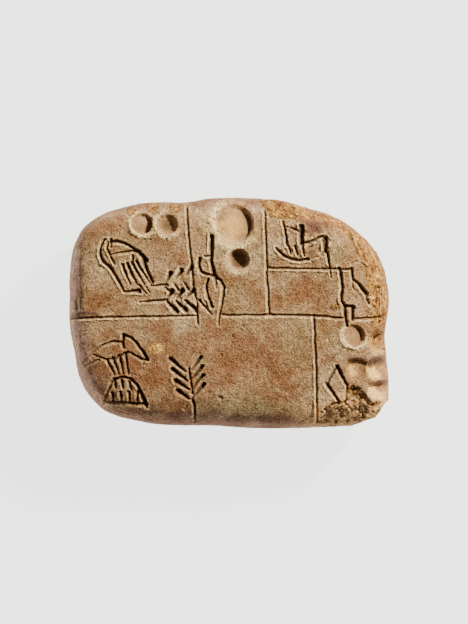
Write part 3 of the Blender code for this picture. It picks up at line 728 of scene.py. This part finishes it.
def split_once(block, triangles, wanted_size):
    """One pass that halves the edges that are too long, and each touched triangle's longest edge."""
    ends = np.sort(triangles[:, [0, 1, 1, 2, 2, 0]].reshape(-1, 2), axis=1)
    keys, inverse = np.unique(ends[:, 0] * len(block) + ends[:, 1], return_inverse=True)
    edges = np.column_stack((keys // len(block), keys % len(block)))
    sides = inverse.reshape(-1, 3)
    places = press(block)
    first, second = places[edges[:, 0]], places[edges[:, 1]]
    length = np.linalg.norm(first - second, axis=1)
    split = length > wanted_size((first + second) / 2)
    if not split.any():
        return block, triangles, False
    ranked = length * (1 + TIE_BREAK * np.arange(len(length)))
    turn = ranked[sides].argmax(axis=1)
    longest = sides[np.arange(len(sides)), turn]
    while True:
        needed = longest[split[sides].any(axis=1)]
        if split[needed].all():
            break
        split[needed] = True
    middle = np.full(len(edges), -1)
    middle[split] = len(block) + np.arange(split.sum())
    block = np.vstack((block, block[edges[split]].mean(axis=1)))
    order = (turn[:, None] + np.arange(3)) % 3
    a, b, c = np.take_along_axis(triangles, order, 1).T
    ab, bc, ca = middle[np.take_along_axis(sides, order, 1)].T
    cut = ab >= 0
    made = [np.column_stack((a, b, c))[~cut]]
    for which, corners in (
        (cut & (ca < 0), (a, ab, c)),
        (cut & (ca >= 0), (a, ab, ca)),
        (cut & (ca >= 0), (ca, ab, c)),
        (cut & (bc < 0), (ab, b, c)),
        (cut & (bc >= 0), (ab, b, bc)),
        (cut & (bc >= 0), (ab, bc, c)),
    ):
        made.append(np.column_stack(corners)[which])
    return block, np.vstack(made), True


def size_map():
    """The edge length that the relief asks for, on a grid over the face."""
    counts = np.ceil(2 * HALF / MAP_CELL).astype(int) + 2 * MAP_MARGIN + 1
    x, y = np.meshgrid(np.arange(counts[0]), np.arange(counts[1]), indexing="ij")
    xy = CENTRE - HALF + (np.column_stack((x.ravel(), y.ravel())) - MAP_MARGIN) * MAP_CELL
    groove, dent, _, burr = marks(xy)
    bend = sharpness((np.maximum(groove, dent) - burr).reshape(counts))
    broken = np.maximum(*(broken_relief(xy, *fracture)[0] for fracture in BREAKS)).reshape(counts)
    rough = np.maximum(broken, chip_depth(xy).reshape(counts) / VISIBLE_CHIP)
    plain = np.where((bend > SLIGHT_BEND) | (rough > ROUGH_SHARE), MIDDLE_EDGE, PLAIN_EDGE)
    rim = burr.reshape(counts) > RIM_HEIGHT
    return np.where((bend > SHARP_BEND) | rim, FINE_EDGE, plain)


def sharpness(relief):
    """How sharply a relief on a grid bends at each cell or next to it."""
    bend = np.zeros(relief.shape)
    for axis in (0, 1):
        bend = np.maximum(bend, abs(np.roll(relief, 1, axis) + np.roll(relief, -1, axis) - 2 * relief))
    for axis in (0, 1):
        bend = np.maximum(bend, np.maximum(np.roll(bend, 1, axis), np.roll(bend, -1, axis)))
    return bend


def vertex_normals(points, triangles):
    """The mesh's normal at each point, from the triangles around it by their areas."""
    a, b, c = (points[triangles[:, corner]] for corner in range(3))
    facing = np.cross(b - a, c - a)
    normals = np.zeros_like(points)
    for corner in range(3):
        for axis in range(3):
            normals[:, axis] += np.bincount(triangles[:, corner], facing[:, axis], len(points))
    return normals / np.linalg.norm(normals, axis=1)[:, None]


def clay_mesh():
    """The unit block's points and triangles, split until each is as small as its place asks for."""
    block, triangles = coarse_block()
    wanted = size_map()

    def wanted_size(places):
        cell = np.rint((places[:, :2] - CENTRE + HALF) / MAP_CELL).astype(int) + MAP_MARGIN
        cell = np.clip(cell, 0, np.array(wanted.shape) - 1)
        on_face = wanted[cell[:, 0], cell[:, 1]]
        height = places[:, 2] / THICKNESS
        below = np.where(height > SIDE_ZONE, SIDE_EDGE, BACK_EDGE)
        return np.where(height > FACE_ZONE, on_face, below)

    unfinished = True
    while unfinished:
        block, triangles, unfinished = split_once(block, triangles, wanted_size)
    return block, triangles


STAIN_FADE = (0.45, 1.15)  # where a patch starts to fade and where it ends, as shares of its reach
STAIN_ROUGHNESS = 0.5

# Patches of other colours, some of them painted light or painted shade: place on the face, reach along X and
# Y in millimetres, and strength
STAINS = {
    "red": (
        ((-60, -54), (7, 6), 0.8),
        ((-49, -44), (4, 4), 0.6),
        ((-9, -54), (10, 7), 0.5),
        ((-75, -25), (6, 5), 0.45),
        ((-68, 79), (6, 2.5), 0.8),
        ((-32, 47), (2.5, 1.5), 0.7),
        ((-80, 20), (3, 6), 0.35),
        ((-40, 60), (5, 3), 0.3),
        ((-66, -58), (21, 18), 1.0),
        ((-46, -68), (12, 10), 0.9),
        ((-8, -50), (20, 13), 0.8),
        ((-2, -20), (9, 5), 0.5),
        ((30, -75), (12, 6), 0.45),
        ((46, 18), (9, 4), 0.45),
    ),
    "grey": (
        ((43, -26), (5, 5), 0.55),
        ((13, -80), (12, 3), 0.7),
        ((-15, -41), (2.6, 1.8), 0.8),
        ((-40, 90), (10, 3), 0.5),
        ((66, 52), (3.5, 4), 0.5),
        ((63, -24), (2.5, 3.5), 0.7),
        ((-55, 55), (6, 3), 0.5),
        ((3, 12), (5, 5), 0.4),
    ),
    # painted light with a pinkish tint: the left edge is made lighter where the rounded face turns away from
    # the lamp
    "rosy_painted_light": (
        ((-97, 10), (3.2, 18), 1.0),
        ((-94, -40), (4, 14), 0.8),
        ((-88, -72), (5, 8), 0.7),
    ),
    # painted shade along the bottom and top edges
    "edge_shade": (
        ((-40, -96), (30, 3.6), 1.0),
        ((40, -97), (20, 3.0), 0.9),
        ((-5, 98), (34, 2.6), 0.9),
        ((-66, 92), (9, 2.4), 0.6),
    ),
    # pale clay at a chip and a white speck; on the floors of the large dent and the troughs, and on the
    # snapped corner, it is painted light
    "pale": (
        ((-45.3, -30.4), (1.9, 1.1), 0.9),
        ((60.6, -23.5), (0.5, 0.5), 1.0),
        ((2, 77), (4.2, 4.0), 0.7),
        ((77, -50), (2.2, 2.2), 0.8),
        ((92, -50), (2.6, 2.0), 0.8),
        ((92, -68), (2.6, 2.4), 0.9),
        ((92, -26), (2.0, 2.4), 0.5),
        ((72, -78), (4.0, 2.4), 0.5),
        ((84, -88), (3.0, 2.0), 0.5),
    ),
    # pale dust on the snapped corner, with painted light where its slope turns away from the lamp
    "dusty_and_lit": (
        ((74, -82), (12, 6), 1.0),
        ((56, -88), (7, 4.5), 0.8),
    ),
    # dark smudges; on the troughs' top walls these are painted shade
    "dark": (
        ((-86, -1.8), (5.2, 1.1), 1.0),
        ((-94.5, 7), (0.6, 1.9), 1.0),
        ((51, 74), (5, 2.4), 0.95),
        ((30, 91), (2.4, 1.6), 0.7),
        # painted shade on the troughs' top walls
        ((79.5, -40), (2.9, 1.0), 1.0),
        ((91.3, -41.5), (2.7, 1.2), 1.0),
        ((92, -60), (2.8, 0.7), 1.0),
        ((97, -63), (0.8, 1.2), 0.8),
        ((60, -90), (4.0, 1.6), 0.2),
    ),
}


def stains(points):
    """Patches where the clay's colour differs or where light and shade are painted, from nought to one at
    each point.
    """
    rough = fractal(points, *STAIN_EDGE)
    fields = {}
    for name, patches in STAINS.items():
        total = np.zeros(len(points))
        for (u, v), (reach_x, reach_y), strength in patches:
            offset = (points[:, :2] - spot(u, v)) / (np.array((reach_x, reach_y)) / MM)
            share = np.hypot(*offset.T) + STAIN_ROUGHNESS * rough
            total = np.maximum(total, strength * (1 - smooth_step(share, *STAIN_FADE)))
        fields[name] = total
    return fields


# Where the clay crumbled between the strokes: place, and reach along X and Y in millimetres
CRUMBLED = (
    ((-22, 20), (9.5, 8.5)),
    ((-38, 90), (9, 3)),
    ((33, 88), (4, 3)),
    ((60, 62), (8, 6)),
    ((93, 0), (3.5, 7)),
)
CRUMB_HEIGHT = 0.00028
CRUMB_FADE = (0.6, 1.1)


def crumbs(points):
    """Height of the small lumps where the clay crumbled."""
    lumps = fractal(points, *CRUMB_NOISE)
    zone = np.zeros(len(points))
    for place, reach in CRUMBLED:
        share = np.hypot(*((points[:, :2] - spot(*place)) / (np.array(reach) / MM)).T)
        zone = np.maximum(zone, 1 - smooth_step(share, *CRUMB_FADE))
    return CRUMB_HEIGHT * zone * lumps


def swelling(points, facing_up):
    """How far the hand-pressed surface swells out, with the crease down its left edge."""
    swell = fractal(points, *BROAD_SWELL) * BROAD_HEIGHT + fractal(points, *NARROW_SWELL) * NARROW_HEIGHT
    swell *= np.clip(points[:, 2] / SWELL_FREE, 0, 1)
    u, v = percent(points[:, :2])
    beyond = smooth_step(-u + CREASE_WANDER * swell / 0.0001, *CREASE)
    return swell - CREASE_STEP * beyond * smooth_step(v, *CREASE_END) * facing_up


def snapped_off(placed):
    """The points with those beyond the snapped corner's outline drawn back to it, and which they are."""
    jagged = fractal(flat(placed[:, :2]), *JAGGED_EDGE)[:, None] * JAGGED_REACH
    beyond, seat = edge_distance(placed[:, :2] + jagged, SNAPPED_CORNER)
    snapped = (beyond > 0) & (placed[:, 0] > CENTRE[0]) & (placed[:, 1] < CENTRE[1])
    drawn_back = seat + SNAP_OVERHANG * (placed[:, :2] - seat)
    placed[:, :2] = np.where(snapped[:, None], drawn_back, placed[:, :2])
    return placed, snapped


def clay_piece(placed, triangles, fields):
    """The mesh object, with a value of each field at each point for its material."""
    mesh = bpy.data.meshes.new("tablet_clay")
    mesh.from_pydata(placed, [], triangles)
    for name, values in fields.items():
        attribute = mesh.attributes.new(name, "FLOAT", "POINT")
        attribute.data.foreach_set("value", values.astype(np.float32))
    mesh.shade_smooth()
    mesh.validate()
    piece = bpy.data.objects.new("tablet_clay", mesh)
    bpy.context.scene.collection.objects.link(piece)
    return piece


def dressed_tablet():
    """The tablet's fine mesh with its marks, breaks and grain, and the masks that its material reads."""
    block, triangles = clay_mesh()
    points = press(block)
    normals = vertex_normals(points, triangles)
    facing_up = smooth_step(normals[:, 2], *FACING_UP) * (points[:, 2] > RIM_LEVEL)
    upper = smooth_step(points[:, 2], RIM_LEVEL * 0.5, RIM_LEVEL)
    roughness = SIDE_ROUGHNESS + (1 - SIDE_ROUGHNESS) * smooth_step(normals[:, 2], *LEVEL)
    xy = points[:, :2]
    groove, dent, printed, burr = marks(xy)
    shift = swelling(points, facing_up) + crumbs(points) * facing_up
    shift -= (np.maximum(groove, dent) - burr) * facing_up
    chip = chip_depth(xy) * facing_up
    shift -= np.maximum(0, chip - groove)
    broken = smooth_step(chip, *CHIP_STEP)
    kept = 1 - np.clip(dent / KEPT_PRINT, 0, 1) * facing_up
    drop = np.zeros(len(xy))
    for fracture in BREAKS:
        share, dropped, bumpy = broken_relief(xy, *fracture)
        drop = np.maximum(drop, dropped * upper * kept)
        shift += bumpy * upper * kept * roughness
        broken = np.maximum(broken, share * upper * kept)
    placed = points + normals * shift[:, None]
    placed[:, 2] -= drop
    placed, snapped = snapped_off(placed)
    broken = np.maximum(broken, snapped)
    # groove, dent and steep also place painted shade in the material, and rim a painted highlight
    fields = {
        "broken": broken,
        "groove": np.clip(groove / STROKE_DEPTH, 0, 1) * facing_up * (1 - broken),
        "dent": printed / SMALL_DENT_DEPTH * facing_up,
        "steep": 1 - smooth_step(normals[:, 2], *STEEP),
        "rim": np.clip(burr / (STROKE_DEPTH * BURR_SHARE), 0, 1) * facing_up * (1 - broken),
    }
    fields.update(stains(points))
    return clay_piece(np.clip(placed, low, high), triangles, fields)


# The clay's paint


def rgb(red, green, blue):
    """A colour as it looks on screen, from 0 to 255, turned into light."""
    light = [((c / 255 + 0.055) / 1.055) ** 2.4 if c > 10 else c / 255 / 12.92 for c in (red, green, blue)]
    return (*light, 1.0)


class Paint:
    """Short forms for the nodes that a procedural material is made of."""

    def __init__(self, material):
        material.use_nodes = True
        self.nodes = material.node_tree.nodes
        self.links = material.node_tree.links
        self.shader = self.nodes["Principled BSDF"]
        self.place = self.add("TexCoord", {})["Object"]

    def feed(self, socket, value):
        """Links the socket to another node's output, or sets it to a constant."""
        if isinstance(value, bpy.types.NodeSocket):
            self.links.new(value, socket)
        else:
            socket.default_value = value

    def add(self, kind, inputs, **settings):
        """The outputs of a new node with these inputs and settings."""
        node = self.nodes.new("ShaderNode" + kind)
        for name, value in settings.items():
            setattr(node, name, value)
        for name, value in inputs.items():
            self.feed(node.inputs[name], value)
        return node.outputs

    def math(self, kind, a, b):
        return self.add("Math", {0: a, 1: b}, operation=kind)[0]

    def times(self, a, b):
        return self.math("MULTIPLY", a, b)

    def mix(self, share, a, b):
        """The first colour with this share of the second."""
        return self.add("Mix", {0: share, 6: a, 7: b}, data_type="RGBA")[2]

    def shade(self, colour, tone):
        """The colour made lighter or darker by a factor."""
        return self.add("VectorMath", {0: colour, "Scale": tone}, operation="SCALE")[0]

    def field(self, name):
        """A value that the mesh holds at each point."""
        return self.add("Attribute", {}, attribute_name=name)["Fac"]

    def between(self, value, start, end, low=0.0, high=1.0):
        """The value stretched from one range to another, and held at its ends."""
        inputs = {"Value": value, "From Min": start, "From Max": end, "To Min": low, "To Max": high}
        return self.add("MapRange", inputs)["Result"]

    def noise(self, size, detail, roughness, warp=0.0, place=None):
        """Noise of this size, by the place on the object or by another place."""
        inputs = {"Scale": 1 / size, "Detail": detail, "Roughness": roughness, "Distortion": warp}
        inputs["Vector"] = place or self.place
        return self.add("TexNoise", inputs)["Fac"]

    def cells(self, size):
        """Distance from the middle of the nearest random cell."""
        return self.add("TexVoronoi", {"Scale": 1 / size, "Vector": self.place})["Distance"]

    def streaks(self, size, stretch):
        """Noise drawn out along circles around the tablet's middle."""
        middle = (ORIGIN[0], ORIGIN[1], 0)
        offset = self.add("VectorMath", {0: self.place, 1: middle}, operation="SUBTRACT")[0]
        x, y, z = self.add("SeparateXYZ", {0: offset})
        radius = self.math("SQRT", self.math("ADD", self.times(x, x), self.times(y, y)), 0.0)
        turn = self.times(self.math("ARCTAN2", y, x), HALF[0] / stretch)
        place = self.add("CombineXYZ", {0: radius, 1: turn, 2: z})[0]
        return self.noise(size, 3.0, 0.5, place=place)

    def bump(self, height, distance, before=None):
        """A normal with this relief on it, on top of the bump before."""
        inputs = {"Distance": distance, "Strength": 1.0, "Height": height}
        if before is not None:
            inputs["Normal"] = before
        return self.add("Bump", inputs)["Normal"]


# Noises in the clay's colour: size in metres, detail, roughness and warp
CLOUD = (0.013, 4, 0.6, 0.6)
MOTTLE = (0.0048, 6, 0.7, 0.5)
FINE = (0.0013, 4, 0.7)
GRAIN = (0.00036, 1, 0.6)
SPECK_SIZE = 0.0013
STREAK_SIZE = 0.0006
STREAK_STRETCH = 4

# Heights of the bumps that are finer than the mesh, in metres
FINE_BUMP = 0.0004
GRAIN_BUMP = 0.00018
STREAK_BUMP = 0.0009

# Colours of whole clay, and of the patches on it with how much they cover; some patches are painted light or
# painted shade
BROWN = rgb(148, 106, 66)
BUFF = rgb(184, 154, 112)
RED_BROWN = rgb(128, 84, 50)
PALE_BUFF = rgb(192, 160, 116)
PATCHES = (
    ("red", 0.85, rgb(130, 80, 44)),
    ("grey", 1.0, rgb(154, 134, 88)),
    ("rosy_painted_light", 1.0, rgb(204, 160, 134)),
    ("edge_shade", 1.0, rgb(112, 72, 50)),
)
PRINTED = rgb(190, 150, 100)
PALE_AND_LIT = rgb(234, 184, 98)
SMUDGE_AND_SHADE = rgb(84, 54, 40)

# Colours of broken clay, of dust with painted light, of the painted highlight on rims, and of painted shade
# on steep sides, in deep dents and in strokes
BROKEN_BROWN = rgb(142, 90, 34)
BROKEN_GOLD = rgb(198, 144, 64)
DARK_STREAK = rgb(92, 54, 22)
BRIGHT_STREAK = rgb(240, 192, 110)
DUST_AND_LIGHT = rgb(230, 180, 120)
RIM_HIGHLIGHT = rgb(250, 212, 146)
STEEP_SIDE_SHADE = rgb(132, 84, 44)
DEEP_DENT_SHADE = rgb(56, 33, 17)
STROKE_SHADE = rgb(46, 28, 17)


def whole_clay(paint, mottle, fine):
    """Buff and red-brown mottled clay with its patches, some of which are painted light and painted shade.
    """
    cloud = paint.noise(*CLOUD)
    colour = paint.mix(paint.between(cloud, 0.38, 0.62), BROWN, BUFF)
    colour = paint.mix(paint.between(mottle, 0.48, 0.66, 0.0, 0.75), colour, RED_BROWN)
    colour = paint.mix(paint.between(mottle, 0.44, 0.32, 0.0, 0.7), colour, PALE_BUFF)
    speckled = paint.between(fine, 0.35, 0.6, 0.7, 1.0)
    patchy = paint.times(speckled, paint.between(mottle, 0.4, 0.54, 0.6, 1.0))
    for name, cover, patch in PATCHES:
        share = paint.times(paint.times(paint.field(name), patchy), cover)
        colour = paint.mix(share, colour, patch)
    colour = paint.mix(paint.between(paint.field("dent"), 0.1, 0.6, 0.0, 0.35), colour, PRINTED)
    # paler patches, partly painted light on print floors and the snapped corner
    colour = paint.mix(paint.field("pale"), colour, PALE_AND_LIT)
    # dark smudges, and painted shade on the troughs' top walls
    return paint.mix(paint.times(paint.field("dark"), speckled), colour, SMUDGE_AND_SHADE)


def broken_clay(paint, mottle, streaks):
    """Golden clay, streaked along the tablet's outline."""
    colour = paint.mix(paint.between(mottle, 0.38, 0.62), BROKEN_BROWN, BROKEN_GOLD)
    colour = paint.mix(paint.between(streaks, 0.5, 0.38, 0.0, 0.85), colour, DARK_STREAK)
    return paint.mix(paint.between(streaks, 0.55, 0.64, 0.0, 0.7), colour, BRIGHT_STREAK)


def speckles(paint, fine, grain):
    """How much lighter or darker each grain is. The round dents' floors are smoother."""
    tone = paint.between(grain, 0.32, 0.68, 0.5, 1.5)
    tone = paint.times(tone, paint.between(fine, 0.32, 0.68, 0.74, 1.26))
    tone = paint.times(tone, paint.between(paint.cells(SPECK_SIZE), 0.10, 0.22, 0.5, 1.0))
    calm = paint.between(paint.field("dent"), 0.1, 0.5, 1.0, 0.25)
    return paint.math("ADD", paint.times(paint.math("SUBTRACT", tone, 1.0), calm), 1.0)


def clay_material():
    """Old dry clay: mottled, speckled, golden where it is broken, with painted shade down in the strokes, in
    deep dents and on steep sides, and a painted highlight on its rims.
    """
    material = bpy.data.materials.new("old_clay")
    paint = Paint(material)
    mottle, fine, grain = (paint.noise(*noise) for noise in (MOTTLE, FINE, GRAIN))
    streaks = paint.streaks(STREAK_SIZE, STREAK_STRETCH)
    colour = whole_clay(paint, mottle, fine)
    broken = paint.field("broken")
    colour = paint.mix(paint.times(broken, 0.92), colour, broken_clay(paint, mottle, streaks))
    # pale dust with painted light on the snapped corner
    dusty_and_lit = paint.times(paint.field("dusty_and_lit"), paint.between(mottle, 0.4, 0.6, 0.4, 1.0))
    colour = paint.mix(dusty_and_lit, colour, DUST_AND_LIGHT)
    # painted highlight on the clay pushed up beside strokes and dents, strongest on their lower left sides
    colour = paint.mix(paint.times(paint.field("rim"), 0.9), colour, RIM_HIGHLIGHT)
    # painted shade: the tablet's steep sides are darkened
    colour = paint.mix(paint.times(paint.field("steep"), 0.5), colour, STEEP_SIDE_SHADE)
    colour = paint.shade(colour, speckles(paint, fine, grain))
    # painted shade: the deepest parts of the round dents are darkened
    colour = paint.mix(paint.between(paint.field("dent"), 0.95, 1.6, 0.0, 0.75), colour, DEEP_DENT_SHADE)
    # painted shade: the deep parts of the strokes are darkened
    colour = paint.mix(paint.between(paint.field("groove"), 0.45, 0.95, 0.0, 0.85), colour, STROKE_SHADE)
    normal = paint.bump(fine, FINE_BUMP)
    normal = paint.bump(grain, GRAIN_BUMP, normal)
    normal = paint.bump(paint.times(streaks, broken), STREAK_BUMP, normal)
    paint.feed(paint.shader.inputs["Base Color"], colour)
    paint.feed(paint.shader.inputs["Roughness"], paint.between(fine, 0.3, 0.7, 0.95, 0.78))
    paint.feed(paint.shader.inputs["Normal"], normal)
    paint.shader.inputs["Specular IOR Level"].default_value = 0.25
    return material


# The setting: a pale floor, two lamps, a dim world and the camera straight above
FLOOR_SIZE = 4.0
FLOOR_GREY = (0.25, 0.25, 0.25, 1)
FLOOR_GLOW = (0.985, 1.0, 0.99, 1)
FLOOR_GLOW_STRENGTH = 2.85
LAMP_DISTANCE = 0.9
WORLD_COLOUR = (1.0, 0.98, 0.97, 1)
WORLD_STRENGTH = 0.09
CAMERA_DISTANCE = 0.8
SENSOR_WIDTH = 36  # millimetres

# Lamps: name, azimuth from +X towards +Y and elevation in degrees, size in metres, power in watts, colour
LAMPS = (
    ("key", 43, 32, 0.07, 21.5, (1.0, 0.95, 0.85)),
    ("fill", 190, 34, 0.5, 0.55, (0.97, 0.92, 1.0)),
)


def pale_floor():
    """A plain floor that glows a little, so that it stays pale right round the tablet."""
    bpy.ops.mesh.primitive_plane_add(size=FLOOR_SIZE, location=(0, 0, 0))
    plane = bpy.context.object
    plane.name = "floor"
    material = bpy.data.materials.new("pale_floor")
    material.use_nodes = True
    shader = material.node_tree.nodes["Principled BSDF"]
    shader.inputs["Base Color"].default_value = FLOOR_GREY
    shader.inputs["Roughness"].default_value = 0.9
    shader.inputs["Emission Color"].default_value = FLOOR_GLOW
    shader.inputs["Emission Strength"].default_value = FLOOR_GLOW_STRENGTH
    plane.data.materials.append(material)


def lamp(name, azimuth, elevation, size, power, colour):
    """An area light that looks at the tablet."""
    data = bpy.data.lights.new(name, "AREA")
    data.size = size
    data.energy = power
    data.color = colour
    turn, rise = math.radians(azimuth), math.radians(elevation)
    level = math.cos(rise)
    place = Vector((math.cos(turn) * level, math.sin(turn) * level, math.sin(rise))) * LAMP_DISTANCE
    light = bpy.data.objects.new(name, data)
    light.location = place
    light.rotation_euler = place.to_track_quat("Z", "Y").to_euler()
    bpy.context.scene.collection.objects.link(light)


def lighting():
    """The lamps and the dim light from all round."""
    for values in LAMPS:
        lamp(*values)
    world = bpy.data.worlds.new("studio")
    world.use_nodes = True
    background = world.node_tree.nodes["Background"]
    background.inputs["Color"].default_value = WORLD_COLOUR
    background.inputs["Strength"].default_value = WORLD_STRENGTH
    bpy.context.scene.world = world


def camera():
    """Looks straight down, with the tablet where the photograph has it."""
    pixel = 2 * HALF[0] / TABLET_WIDTH_PX
    data = bpy.data.cameras.new("camera")
    data.sensor_width = SENSOR_WIDTH
    data.lens = SENSOR_WIDTH * (CAMERA_DISTANCE - RIM_LEVEL) / (PHOTO_HEIGHT * pixel)
    view = bpy.data.objects.new("camera", data)
    right = (PHOTO_WIDTH / 2 - TABLET_CENTRE_PX[0]) * pixel
    up = (TABLET_CENTRE_PX[1] - PHOTO_HEIGHT / 2) * pixel
    view.location = (CENTRE[0] + right, CENTRE[1] + up, CAMERA_DISTANCE)
    bpy.context.scene.collection.objects.link(view)
    bpy.context.scene.camera = view


tablet = dressed_tablet()
tablet.data.materials.append(clay_material())
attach(tablet, "root")
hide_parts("tablet")
pale_floor()
lighting()
camera()
